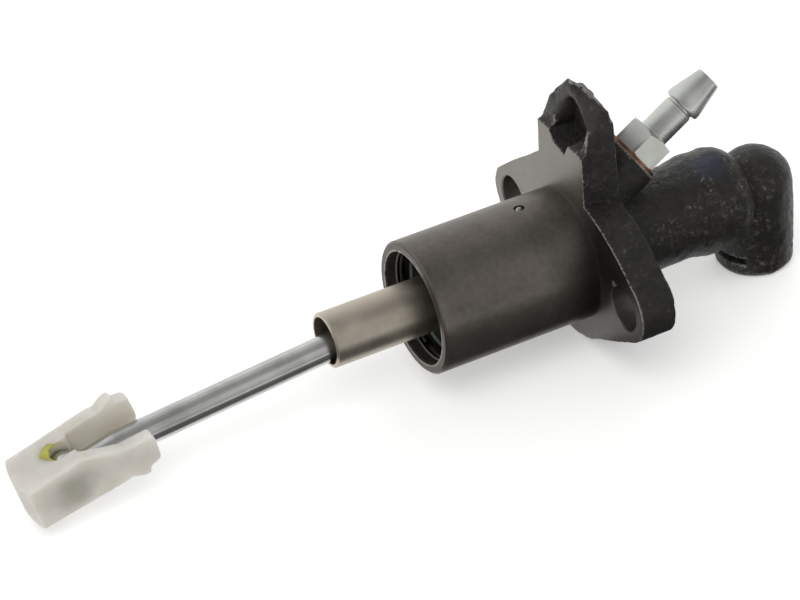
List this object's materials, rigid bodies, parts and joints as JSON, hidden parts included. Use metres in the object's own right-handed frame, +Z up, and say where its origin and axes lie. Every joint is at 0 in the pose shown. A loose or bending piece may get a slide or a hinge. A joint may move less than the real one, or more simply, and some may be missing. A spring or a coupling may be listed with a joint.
{
  "type": "clutch master cylinder",
  "caption": "Clutch master cylinder with a bolted flange, angled hose nipple, downturned outlet and a ball-jointed push rod that ends in a snap-in pedal clip.",
  "frame": {"origin": "centre of the flange's machined front face, on the cylinder's axis", "axes": "+X along the cylinder's axis from the push rod to the outlet end, +Z up through the lug and away from the outlet, +Y completes it and runs through the two bolt holes"},
  "size_m": [0.2503, 0.085, 0.0838],
  "materials": {
    "casting": "raw casting, satin where machined",
    "plunger_metal": "hard anodised",
    "bright_steel": "bright",
    "plated_steel": "zinc plated",
    "pressed_steel": "satin",
    "dark_steel": "dark",
    "copper": "dull copper",
    "rubber": "matte",
    "bush_plastic": "matte",
    "white_nylon": "milky nylon"
  },
  "bodies": {
    "cylinder": {"cylinder_body": "casting", "closing_ball": "dark_steel", "snap_ring": "dark_steel", "retainer_cup": "pressed_steel", "guide_bush": "bush_plastic", "bush_o_ring": "rubber", "wiper_seal": "rubber", "secondary_seal": "rubber", "supply_ring": "bush_plastic", "backing_washer": "pressed_steel", "primary_seal": "rubber", "return_spring": "bright_steel", "supply_nipple": "plated_steel", "sealing_washer": "copper"},
    "plunger": {"plunger": "plunger_metal", "rod_socket": "white_nylon", "socket_ring": "dark_steel", "spring_seat": "pressed_steel"},
    "push_rod": {"push_rod": "bright_steel"},
    "pedal_clip": {"pedal_clip": "white_nylon"}
  },
  "joints": [
    {"name": "plunger_slide", "type": "slide", "parent": "cylinder", "child": "plunger", "axis": [1, 0, 0], "range_m": [0, 0.028], "stiffness_N_per_m": 6000, "springref_m": -0.008, "deforming": ["return_spring"]},
    {"name": "rod_pitch", "type": "hinge", "parent": "plunger", "child": "push_rod", "pos_m": [-0.0523, 0, 0], "axis": [0, 1, 0], "range_deg": [0, 11.6]},
    {"name": "clip_pitch", "type": "hinge", "parent": "push_rod", "child": "pedal_clip", "pos_m": [-0.15957, 0, -0.01067], "axis": [0, 1, 0], "range_deg": [-6.6, 21.2]}
  ]
}
